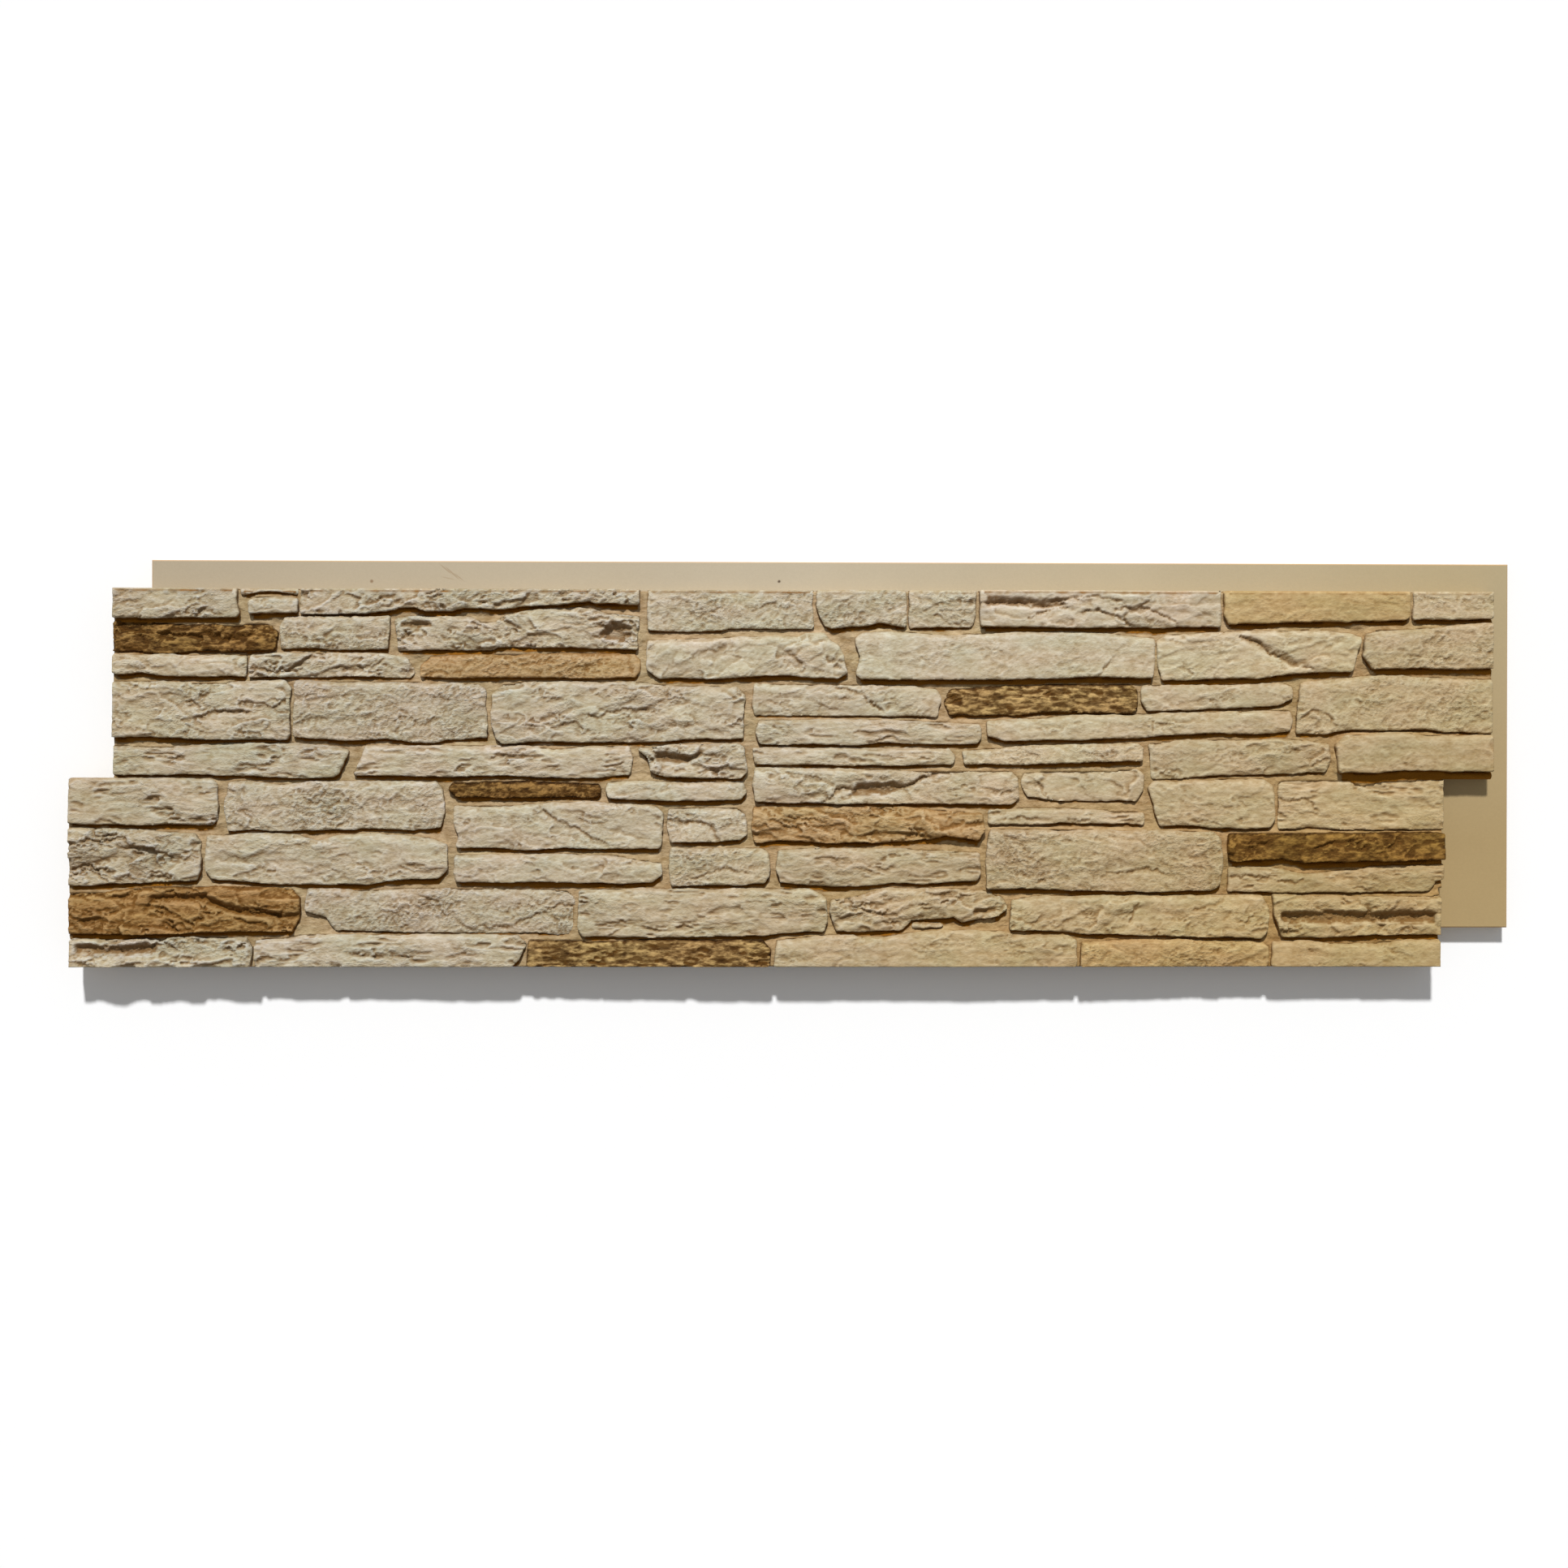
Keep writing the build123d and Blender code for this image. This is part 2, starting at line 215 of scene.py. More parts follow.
# Cracks and broken ledges: route, width, depth, and how far the stone below the route is lower
cracks = [
    ([(102, 255), (120, 251), (130, 253), (150, 259)], 1.6, 2.0, 0.8),
    ([(697, 281), (728, 279), (745, 277), (758, 279)], 1.8, 2.4, 0.8),
    ([(750, 282), (770, 284), (785, 285), (805, 281)], 1.0, 1.4, 0.5),
    ([(733, 268), (745, 272), (756, 276), (768, 276)], 0.9, 1.4, 0.6),
    ([(773, 272), (785, 275), (800, 270), (815, 262)], 0.9, 1.4, 0.8),
    ([(800, 276), (820, 276), (840, 270), (845, 265)], 0.9, 1.2, 0.5),
    ([(662, 270), (680, 262)], 0.8, 1.0, 0.3),
    ([(578, 236), (592, 236)], 1.4, 1.6, 0.4),
    ([(585, 232), (596, 224)], 1.4, 1.6, 0.4),
    ([(785, 222), (795, 235)], 0.8, 1.2, 0.6),
    ([(898, 255), (910, 250), (922, 241), (938, 234), (950, 231)], 0.9, 1.6, 0.7),
    ([(150, 233), (160, 222)], 0.9, 1.4, 0.4),
    ([(97, 190), (105, 194), (118, 196), (135, 195)], 1.1, 1.6, 1.0),
    ([(107, 213), (105, 208), (98, 205)], 0.9, 1.2, 0.5),
    ([(396, 192), (403, 190), (412, 196), (425, 198), (445, 196)], 0.9, 1.3, 0.7),
    ([(585, 215), (600, 212), (608, 206), (620, 198)], 1.0, 1.5, 0.6),
    ([(945, 193), (955, 197), (962, 197), (968, 190)], 0.9, 1.2, 0.4),
    ([(829, 179), (829, 193)], 0.6, 0.8, 0.2),
    ([(444, 160), (470, 160)], 2.2, 2.2, 0.6),
    ([(478, 158), (483, 156), (490, 161), (497, 164)], 1.2, 1.5, 0.5),
    ([(360, 121), (370, 114), (380, 109), (395, 101), (405, 96)], 0.9, 1.2, 0.6),
    ([(457, 112), (470, 110), (480, 112), (490, 108), (495, 97)], 1.3, 1.6, 0.6),
    ([(575, 127), (590, 138), (605, 138), (620, 134), (645, 141), (660, 149)], 1.3, 2.0, 1.4),
    ([(741, 142), (750, 128)], 1.0, 1.2, 0.6),
    ([(703, 117.5), (715, 118.5)], 0.9, 1.4, 0.4),
    ([(715, 114), (740, 114)], 0.9, 1.2, 0.4),
    ([(765, 113), (780, 113)], 0.9, 1.2, 0.4),
    ([(925, 130), (950, 128), (958, 121)], 0.9, 1.0, 0.5),
    ([(478, 69), (490, 72), (500, 76), (515, 73)], 0.9, 1.3, 0.5),
    ([(680, 75), (695, 76)], 1.2, 1.6, 0.4),
    ([(795, 72), (810, 74), (825, 76), (838, 73)], 0.9, 1.3, 0.5),
    ([(735, 65), (745, 66)], 0.9, 1.2, 0.3),
    ([(890, 70), (915, 69), (925, 67), (935, 65), (945, 66)], 1.0, 1.4, 0.5),
    ([(101, 55), (115, 48), (125, 42), (140, 40), (160, 40)], 1.4, 2.2, 1.2),
    ([(0, 54.5), (30, 54), (60, 54)], 1.2, 1.6, 0.4),
    ([(322, 30), (335, 31), (345, 36), (360, 42), (375, 48), (384, 47)], 0.9, 1.4, 0.6),
    ([(817, 49), (812, 35)], 0.9, 1.2, 0.4),
    ([(212, 11), (225, 8), (260, 7)], 0.9, 1.3, 0.5),
]


def onPanel(points):
    # from the lower left corner to the origin under the panel's middle
    return np.array(points, float) * panel["drawnScale"] + panelLow[:2]


def solidOutlines(level):
    # the closed outlines that the solid shows when it is cut at this height
    solid = bmesh.new()
    solid.from_mesh(panelSolid.data)
    bmesh.ops.remove_doubles(solid, verts=solid.verts, dist=1e-6)
    bmesh.ops.bisect_plane(solid, geom=solid.verts[:] + solid.edges[:] + solid.faces[:], dist=1e-6,
                           plane_co=(0, 0, level * mm), plane_no=(0, 0, 1),
                           clear_inner=True, clear_outer=True)
    outlines = []
    left = dict.fromkeys(solid.verts)
    while left:
        vertex, _ = left.popitem()
        loop = [vertex]
        while True:
            onward = [e.other_vert(vertex) for e in vertex.link_edges if e.other_vert(vertex) in left]
            if not onward:
                break
            vertex = onward[0]
            del left[vertex]
            loop.append(vertex)
        if len(loop) > 3:
            outlines.append(inOrder(np.array([v.co[:2] for v in loop]) / mm))
    solid.free()
    return outlines


def inOrder(outline):
    # the same outline from its lowest point on, with its inside on the left
    x, y = outline.T
    area = np.sum(x * np.roll(y, -1) - y * np.roll(x, -1))
    outline = outline if area > 0 else outline[::-1]
    return np.roll(outline, -np.lexsort(outline.T)[0], axis=0)


def onRim(points):
    # which points lie on the straight cut rim of the face
    x, y = (points - panelLow[:2]).T
    flush = (np.abs(y) < panel["rimSlack"]) | (np.abs(y - panel["rimTop"]) < panel["rimSlack"])
    for step in panel["rimSteps"]:
        flush |= np.abs(x - step) < panel["rimSlack"]
    return flush


def insideRim(points, outline):
    # the same points, held inside the rim wherever this stone ends at it
    held = points.copy()
    low, high = outline.min(0), outline.max(0)
    for axis in (0, 1):
        for end, hold in ((low, np.maximum), (high, np.minimum)):
            place = (low + high) / 2
            place[axis] = end[axis]
            if onRim(place[None])[0]:
                held[:, axis] = hold(held[:, axis], end[axis])
    stepX, stepY = panelLow[:2] + (panel["rimSteps"][1], panel["rimStep"])
    if low[1] < stepY:
        overStep = held[:, 0] < stepX
        held[overStep, 1] = np.minimum(held[overStep, 1], stepY)
    return held


brokenLine = {
    "outside": 0.2,  # how far the stones' edges lie outside the solid's outlines
    "outsideHead": 0.6,  # and how much further at the head
    "outsideEnds": 0.9,  # and at the ends
    "waver": 0.9, "waverSize": (26, 14),
    "chip": 0.35, "chipSize": 5,
    "rounding": 2,  # times that each point is drawn towards its neighbours
}


def roughOutline(outline, spacing):
    # evenly spaced points, with rounded corners and a broken line except along the rim
    ends = np.roll(outline, -1, axis=0)
    lengths = np.hypot(*(ends - outline).T)
    points = []
    for start, end, length in zip(outline, ends, lengths):
        count = max(1, round(length / spacing))
        points.append(start + (end - start) * (np.arange(count) / count)[:, None])
    points = np.concatenate(points)
    flush = onRim(points)[:, None]
    for turn in range(brokenLine["rounding"]):
        eased = (np.roll(points, 1, axis=0) + 2 * points + np.roll(points, -1, axis=0)) / 4
        points = np.where(flush, points, eased)
    along = np.roll(points, -1, axis=0) - np.roll(points, 1, axis=0)
    outward = np.stack([along[:, 1], -along[:, 0]], 1) / (np.hypot(*along.T)[:, None] + 1e-9)
    x, y = points.T
    waverX, waverY = brokenLine["waverSize"]
    chipSize = brokenLine["chipSize"]
    shift = brokenLine["waver"] * roughNoise(x / waverX, y / waverY, 5, 2)
    shift = shift + brokenLine["chip"] * roughNoise(x / chipSize, y / chipSize, 9, 2)
    shift = shift + brokenLine["outside"] + brokenLine["outsideHead"] * np.clip(outward[:, 1], 0, 1)
    shift = shift + brokenLine["outsideEnds"] * np.abs(outward[:, 0])
    return insideRim(np.where(flush, points, points + outward * shift[:, None]), outline)


pointsAtOnce = 1500  # keeps the arrays of the next function small
facingSpread = 4  # edges to each side that say which way a place on the outline faces


def distanceTo(points, outline):
    # signed distance into the outline, the nearest point on it, and how far it faces the head there
    run = np.roll(outline, -1, axis=0) - outline
    runSquared = (run ** 2).sum(1) + 1e-12
    signed = np.empty(len(points))
    nearest = np.empty((len(points), 2))
    facingHead = np.empty(len(points))
    turnedUp = -run[:, 0] / (np.hypot(*run.T) + 1e-9)
    turns = range(-facingSpread, facingSpread + 1)
    turnedUp = sum(np.roll(turnedUp, i) for i in turns) / len(turns)
    for first in range(0, len(points), pointsAtOnce):
        these = slice(first, first + pointsAtOnce)
        part = points[these]
        away = part[:, None] - outline[None]
        share = np.clip((away * run).sum(2) / runSquared, 0, 1)
        gap = away - share[..., None] * run
        squared = (gap ** 2).sum(2)
        best = squared.argmin(1)
        rows = np.arange(len(part))
        nearest[these] = part - gap[rows, best]
        facingHead[these] = turnedUp[best]
        above = away[..., 1] >= 0
        passed = away[..., 1] >= run[:, 1]
        crossing = above != passed
        reach = away[..., 0] * run[:, 1] - away[..., 1] * run[:, 0]
        left = crossing & ((reach < 0) == (run[:, 1] > 0))
        inside = left.sum(1) % 2 == 1
        signed[these] = np.sqrt(squared[rows, best]) * np.where(inside, 1, -1)
    return signed, nearest, facingHead


def pickedFor(outline, choice, usual):
    # the name whose list has a place inside this outline
    for name, places in choice.items():
        if distanceTo(onPanel(places), outline)[0].max() > 0:
            return name
    return usual


crackLine = {
    "wander": 1.7, "wanderSize": 8,  # how far a crack strays from its route
    "open": 0.62, "openVaries": 0.8, "openSize": 11, "openLimits": (0.12, 1.1),
    "ledge": 1.3,  # times the drop that the list gives
    "ledgeReach": 4,  # the lower side rises back over this distance
    "reach": 14,  # a crack changes nothing further away
}


def crackDepth(x, y):
    # how much the cracks take away at each point
    depth = np.zeros(x.shape)
    size = crackLine["wanderSize"]
    wobbleX = x + crackLine["wander"] * roughNoise(x / size, y / size, 21, 4, 0.6)
    wobbleY = y + crackLine["wander"] * roughNoise(x / size, y / size, 27, 4, 0.6)
    size = crackLine["openSize"]
    agape = crackLine["open"] + crackLine["openVaries"] * roughNoise(x / size, y / size, 33, 2)
    agape = np.clip(agape, *crackLine["openLimits"])
    for route, width, deep, drop in cracks:
        path = onPanel(route)
        low = path.min(0) - crackLine["reach"]
        high = path.max(0) + crackLine["reach"]
        near = (x > low[0]) & (x < high[0]) & (y > low[1]) & (y < high[1])
        if not near.any():
            continue
        px = wobbleX[near]
        py = wobbleY[near]
        closest = np.full(px.shape, np.inf)
        side = np.zeros(px.shape)
        for (ax, ay), (bx, by) in zip(path[:-1], path[1:]):
            runX = bx - ax
            runY = by - ay
            share = np.clip(((px - ax) * runX + (py - ay) * runY) / (runX ** 2 + runY ** 2), 0, 1)
            gap = np.hypot(px - ax - share * runX, py - ay - share * runY)
            below = np.sign((px - ax) * runY - (py - ay) * runX) * (1 if runX >= 0 else -1)
            side = np.where(gap < closest, below, side)
            closest = np.minimum(gap, closest)
        groove = deep * agape[near] * np.exp(-(closest / width) ** 2)
        lower = crackLine["ledge"] * drop * np.exp(-closest / crackLine["ledgeReach"]) * (side > 0)
        depth[near] = np.maximum(depth[near], groove + lower)
    return depth


# Heights of the solid under any point, for the fronts of the stones and the broken places
solidTree = BVHTree.FromPolygons([v.co for v in panelSolid.data.vertices],
                                 [p.vertices for p in panelSolid.data.polygons])
downward = Vector((0, 0, -1))
wellAbove = 100 * mm


def solidHeight(x, y):
    heights = np.empty(len(x))
    for i, (px, py) in enumerate(zip(x * mm, y * mm)):
        hit = solidTree.ray_cast(Vector((px, py, wellAbove)), downward)[0]
        heights[i] = hit.z / mm if hit else 0
    return heights


# where the stones' cast shadows fall under the sun, which the paint takes as a painted shadow
castShade = {
    "reach": 9,  # the furthest that a stone shades, down the panel
    "sideways": 0.17,  # how far the light runs to the right on each millimetre down
    "fall": 0.75,  # and how far it falls
    "leastFoot": 0.9,  # a lower foot casts no shade
    "edge": (-0.8, 0.3),  # the shade begins and is full this far under the light
}


class FaceMap:
    # the solid's heights on a grid over the whole stone face
    def __init__(self, spacing):
        left, foot = panelLow[:2]
        right = left + panel["rimSteps"][-1]
        head = foot + panel["rimTop"]
        columns = round((right - left) / spacing)
        rows = round((head - foot) / spacing)
        self.x, self.y = np.meshgrid(np.linspace(left, right, columns + 1),
                                     np.linspace(foot, head, rows + 1))
        self.step = np.array([(right - left) / columns, (head - foot) / rows])
        # read a hair inside the rim, where the solid is sure to be
        hair, nearlyAll = 0.01, 0.99999
        heights = solidHeight(self.x.ravel() * nearlyAll, self.y.ravel() * nearlyAll + hair)
        self.height = heights.reshape(self.x.shape)

    def at(self, x, y):
        rows, columns = self.height.shape
        column = np.rint((x - self.x[0, 0]) / self.step[0]).astype(int)
        row = np.rint((y - self.y[0, 0]) / self.step[1]).astype(int)
        return self.height[np.clip(row, 0, rows - 1), np.clip(column, 0, columns - 1)]

    def shades(self, x, y, height, tallest):
        # how deep each place lies in the shade of a stone further up, where the shadow is painted in brown
        shade = np.zeros(np.shape(x))
        for away in range(1, castShade["reach"] + 1):
            above = self.at(x - castShade["sideways"] * away, y + away)
            above = np.where(y + away < self.y[-1, 0], above, 0)
            lip = np.minimum(above, tallest) - height - castShade["leastFoot"]
            lip = lip - castShade["fall"] * (away - 1)
            shade = np.maximum(shade, smooth(*castShade["edge"], lip))
        return shade


mortarFineness = 1.35  # spacing of the points of the map, and of the mortar that is laid on it
faceMap = FaceMap(mortarFineness)
print("face mapped")


def boxBlur(field, reach):
    # the mean over a square that reaches this many points to each side
    padded = np.pad(field, reach, mode="edge")
    total = np.cumsum(np.cumsum(np.pad(padded, ((1, 0), (1, 0))), 0), 1)
    size = 2 * reach + 1
    square = total[size:, size:] - total[:-size, size:] - total[size:, :-size] + total[:-size, :-size]
    return square / size ** 2


def gridFaces(keep):
    # square faces whose four corners are kept, as rows of corner numbers
    rows, columns = np.nonzero(keep[:-1, :-1] & keep[1:, :-1] & keep[:-1, 1:] & keep[1:, 1:])
    width = keep.shape[1]
    corner = rows * width + columns
    return np.stack([corner, corner + 1, corner + width + 1, corner + width], 1)


def openEdges(faces):
    # edges with one face only, in the direction that face runs
    edges = np.concatenate([faces[:, [i, (i + 1) % 4]] for i in range(4)])
    key = np.sort(edges, 1)
    key = key[:, 0] * (faces.max() + 1) + key[:, 1]
    _, where, count = np.unique(key, return_index=True, return_counts=True)
    return edges[where[count == 1]]


def packed(sheets):
    # places for the flat sheets of the stones, in rows on a square, and its side
    gap = 3.0
    sizes = [np.ptp(sheet.reshape(-1, 2), axis=0) + gap for sheet in sheets]
    order = sorted(range(len(sheets)), key=lambda i: -sizes[i][1])
    side = max(max(size.max() for size in sizes), math.sqrt(sum(size.prod() for size in sizes)))
    while True:
        places = {}
        x = y = rowHeight = 0
        for i in order:
            if x + sizes[i][0] > side:
                x = 0
                y += rowHeight
                rowHeight = 0
            places[i] = np.array([x, y]) + gap / 2
            x += sizes[i][0]
            rowHeight = max(rowHeight, sizes[i][1])
        if y + rowHeight <= side:
            return [places[i] for i in range(len(sheets))], side
        side *= 1.02


class Carving:
    # a mesh being built: points in millimetres, faces, what the paint needs at each point,
    # and the flat sheet that each patch of faces makes
    def __init__(self, name):
        self.name = name
        self.points = []
        self.faces = []
        self.sheets = []
        self.fields = {}
        self.count = 0

    def add(self, points, faces, sheet, **fields):
        self.points.append(points)
        self.faces.append(faces + self.count)
        self.sheets.append(sheet)
        for field, values in fields.items():
            self.fields.setdefault(field, []).append(values)
        self.count += len(points)

    def finish(self, material):
        points = np.concatenate(self.points) * mm
        faces = np.concatenate(self.faces)
        mesh = bpy.data.meshes.new(self.name)
        mesh.vertices.add(len(points))
        mesh.vertices.foreach_set("co", points.ravel())
        mesh.loops.add(faces.size)
        mesh.loops.foreach_set("vertex_index", faces.ravel().astype(np.int32))
        mesh.polygons.add(len(faces))
        mesh.polygons.foreach_set("loop_start", np.arange(0, faces.size, 4, dtype=np.int32))
        places, side = packed(self.sheets)
        flat = [sheet - sheet.reshape(-1, 2).min(0) + place for sheet, place in zip(self.sheets, places)]
        mesh.uv_layers.new(name="OFBake").data.foreach_set("uv", (np.concatenate(flat) / side).ravel())
        for field, values in self.fields.items():
            values = np.concatenate(values)
            if values.ndim == 2:
                layer = mesh.attributes.new(field, "FLOAT_COLOR", "POINT")
                values = np.hstack([values, np.ones((len(values), 1))])
                layer.data.foreach_set("color", values.ravel().astype(np.float32))
            else:
                layer = mesh.attributes.new(field, "FLOAT", "POINT")
                layer.data.foreach_set("value", values.astype(np.float32))
        mesh.update(calc_edges=True)
        mesh.validate()
        mesh.shade_smooth()
        mesh.materials.append(material)
        piece = bpy.data.objects.new(self.name, mesh)
        bpy.context.collection.objects.link(piece)
        print(self.name, len(faces) * 2, "triangles")
        return piece


# The colour runs from a greyish cream at the left to a darker, warm tan at the right and the foot, a painted
# fall-off of the light, and is palest at one place along the head, a painted pool of light
drift = {
    "start": -0.12, "perMetreRight": 1.62, "perMetreDown": 3.15, "middle": (550, 200),
    "cloud": 0.08, "cloudSize": (200, 120),
    "leftEnd": 0.22, "leftEndWidth": 160,  # the left end is a little warmer again
    "right": (0.93, 0.79, 0.54),
    "palest": 700, "paleWidth": 450, "pale": 0.12, "paleAtFoot": 0.35,
    "stoneTint": 0.03, "stoneHue": 0.004,  # how much the stones differ from each other
    "stoneCloud": 0.05, "stoneCloudSize": (34, 18),
    "hueSize": (45, 22), "pink": (1.04, 0.985, 0.985), "green": (0.985, 1.0, 0.97),
    "darkStones": 0.35,  # stones of the other paints drift this much of it
}


def paintedLightDrift(x, y):
    right = (x - panelLow[0] - drift["middle"][0]) * mm
    down = (drift["middle"][1] - (y - panelLow[1])) * mm
    share = drift["start"] + right * drift["perMetreRight"] + down * drift["perMetreDown"]
    sizeX, sizeY = drift["cloudSize"]
    share = np.clip(share + drift["cloud"] * roughNoise(x / sizeX, y / sizeY, 40, 2), 0, 1)
    atLeft = smooth(drift["leftEndWidth"], 0, x - panelLow[0])
    return np.clip(share + drift["leftEnd"] * atLeft, 0, 1)


def stonePaint(x, y, base, seed, drifts=1.0):
    # one stone's own colour, clouded a little and carrying the painted light of the drift; the base may
    # differ from point to point, and the last value is how much of the drift it takes
    own = np.random.default_rng(seed)
    tint = 1 + own.normal(0, drift["stoneTint"]) + own.normal(0, drift["stoneHue"], 3)
    sizeX, sizeY = drift["stoneCloudSize"]
    cloud = (1 + drift["stoneCloud"] * roughNoise(x / sizeX, y / sizeY, seed, 3))[:, None]
    sizeX, sizeY = drift["hueSize"]
    pink = np.clip(0.5 + 0.8 * roughNoise(x / sizeX, y / sizeY, seed + 5, 2), 0, 1)[:, None]
    hue = pink * np.array(drift["pink"]) + (1 - pink) * np.array(drift["green"])
    share = paintedLightDrift(x, y)[:, None] * drifts
    # a painted pool of light, palest at one place along the head and weaker towards the foot
    palerX = (x - panelLow[0] - drift["palest"]) / drift["paleWidth"]
    palerY = drift["paleAtFoot"] + (1 - drift["paleAtFoot"]) * ((y - panelLow[1]) / panel["rimTop"])
    paintedLightPool = (1 + drift["pale"] * np.exp(-palerX ** 2) * palerY)[:, None]
    return base * tint * cloud * hue * paintedLightPool * (1 - share + share * np.array(drift["right"]))


# Materials

class Wire:
    # one output of a material's nodes, which can be used in sums
    def __init__(self, tree, socket):
        self.tree = tree
        self.socket = socket

    def sum(self, operation, *values):
        return self.tree.node("ShaderNodeMath", {"operation": operation}, dict(enumerate(values)))

    def __add__(self, other):
        return self.sum("ADD", self, other)

    def __radd__(self, other):
        return self.sum("ADD", other, self)

    def __sub__(self, other):
        return self.sum("SUBTRACT", self, other)

    def __rsub__(self, other):
        return self.sum("SUBTRACT", other, self)

    def __mul__(self, other):
        return self.sum("MULTIPLY", self, other)

    def __rmul__(self, other):
        return self.sum("MULTIPLY", other, self)

    def __truediv__(self, other):
        return self.sum("DIVIDE", self, other)

    def power(self, exponent):
        return self.sum("POWER", self, exponent)

    def clamped(self):
        return self.tree.node("ShaderNodeClamp", {}, {"Value": self})


class Recipe:
    # a material, built node by node
    def __init__(self, name):
        self.material = bpy.data.materials.new(name)
        self.material.use_nodes = True
        self.nodes = self.material.node_tree.nodes
        self.links = self.material.node_tree.links
        self.nodes.clear()

    def node(self, kind, settings, values, output=0):
        made = self.nodes.new(kind)
        for name, setting in settings.items():
            setattr(made, name, setting)
        for name, value in values.items():
            socket = made.inputs[name]
            if isinstance(value, Wire):
                self.links.new(value.socket, socket)
            elif socket.type == "RGBA":
                socket.default_value = (*value, 1)
            else:
                socket.default_value = value
        return Wire(self, made.outputs[output]) if made.outputs else None

    def mix(self, factor, first, second, blend="MIX"):
        return self.node("ShaderNodeMix", {"data_type": "RGBA", "blend_type": blend},
                         {0: factor, 6: first, 7: second}, output=2)

    def place(self):
        return self.node("ShaderNodeTexCoord", {}, {}, output=3)

    def noise(self, scale, detail, rough, stretch=(1, 1, 1)):
        place = self.node("ShaderNodeMapping", {}, {"Vector": self.place(), "Scale": stretch})
        return self.node("ShaderNodeTexNoise", {}, {"Vector": place, "Scale": scale, "Detail": detail,
                                                    "Roughness": rough})

    def attribute(self, name, output=2):
        return self.node("ShaderNodeAttribute", {"attribute_name": name}, {}, output=output)

    def surface(self, **values):
        inputs = {name.replace("_", " "): value for name, value in values.items()}
        shader = self.node("ShaderNodeBsdfPrincipled", {}, inputs)
        self.node("ShaderNodeOutputMaterial", {}, {"Surface": shader})
        return self.material


def castStonePaint(name, settings):
    # moulded stone with a dry-brushed coat: brown in the hollows, painted shade on faces turned from the
    # light and painted shadow under the stones, and paler on the ridges and arrises, partly wear and partly
    # painted highlight
    paint = Recipe(name)
    base = paint.attribute("tone", 0)
    hollow = paint.attribute("hollow")
    ridge = paint.attribute("ridge")
    grit = paint.attribute("grit")
    mottle = paint.attribute("mottle")
    blotch = paint.noise(*settings["blotch"])
    coarse = paint.noise(*settings["coarse"])
    fine = paint.noise(*settings["fine"])
    colour = paint.mix(1.0, base, paint.mix(blotch, *settings["blotchTones"]), "MULTIPLY")
    washed = (0.5 + (coarse - 0.5) * mottle * 4 + (fine - 0.5) * 0.9).clamped()
    deepest = paint.mix(((mottle - 0.6) * 1.3).clamped(), settings["washDark"], settings["washDarkest"])
    colour = paint.mix(1.0, colour, paint.mix(washed, deepest, settings["washLight"]), "MULTIPLY")
    # the brown of the hollows and of painted shade, and where the amount passes 0.7 the warmer brown of the
    # painted shadow under the stones
    brownWashAndShade = (hollow * (0.8 + 0.6 * paint.noise(*settings["washAndShadeNoise"]))).clamped()
    brown = paint.mix(((hollow - 0.7) * 5).clamped(), settings["brownWashAndShade"], settings["shade"])
    colour = paint.mix(brownWashAndShade * settings["washAndShadeDepth"], colour, brown)
    # paler, bluish tone on crests and arrises: partly wear of the paint, partly painted highlight
    wearAndHighlightAmount = (ridge * (0.2 + 1.3 * paint.noise(*settings["wearAndHighlightNoise"]))).clamped()
    wearAndHighlightColour = paint.mix(1.0, colour, settings["wearAndHighlightTone"], "MULTIPLY")
    colour = paint.mix(wearAndHighlightAmount * settings["wearAndHighlightShare"], colour, wearAndHighlightColour)
    bump = paint.node("ShaderNodeBump", {}, {"Strength": 1.0, "Distance": settings["grainHeight"] * mm,
                                             "Height": grit * (0.8 * coarse + 0.9 * fine)})
    return paint.surface(Base_Color=colour, Roughness=0.78 + 0.14 * blotch, Normal=bump,
                         Specular_IOR_Level=settings["gloss"])


def moulding(name, settings):
    # the plain moulded skin of the backing, flanges and laps, with its few marks and its painted light
    skin = Recipe(name)
    apart = skin.node("ShaderNodeSeparateXYZ", {}, {"Vector": skin.place()})
    across = Wire(skin, apart.socket.node.outputs[1])
    # lighter in the middle, a painted pool of light, and darker and warmer at the ends and lower down, a
    # painted fall-off of the light
    firstHalf = ((apart + 0.49) / 0.5).clamped()
    secondHalf = (apart / 0.5).clamped()
    colour = skin.mix(firstHalf, settings["left"], settings["middle"])
    colour = skin.mix(secondHalf, colour, settings["right"])
    lower = ((0.14 - across) / 0.2).clamped()
    colour = skin.mix(lower, colour, settings["lower"])
    cloud = skin.noise(*settings["cloud"])
    colour = skin.mix(1.0, colour, skin.mix(cloud, *settings["cloudTones"]), "MULTIPLY")
    speck = skin.noise(*settings["speck"])
    colour = skin.mix(1.0, colour, skin.mix(speck, *settings["speckTones"]), "MULTIPLY")
    for x, y, radius, stretch, turn, strength, shade in settings["marks"]:
        markX, markY = onPanel([(x, y)])[0] * mm
        cosine, sine = math.cos(math.radians(turn)), math.sin(math.radians(turn))
        along = ((apart - markX) * cosine + (across - markY) * sine) / stretch
        aside = (across - markY) * cosine - (apart - markX) * sine
        away = (along * along + aside * aside).power(0.5)
        mark = (1.6 - away / (radius * mm) + 0.5 * skin.noise(900, 2, 0.5)).clamped()
        colour = skin.mix(mark * strength, colour, shade)
    colour = skin.mix(skin.attribute("brokenEdge"), colour, settings["edge"])
    bump = skin.node("ShaderNodeBump", {}, {"Strength": 1.0, "Distance": settings["skinHeight"] * mm,
                                            "Height": skin.noise(700, 4, 0.6) + skin.noise(60, 3, 0.5)})
    return skin.surface(Base_Color=colour, Roughness=0.62 + 0.16 * cloud, Normal=bump)


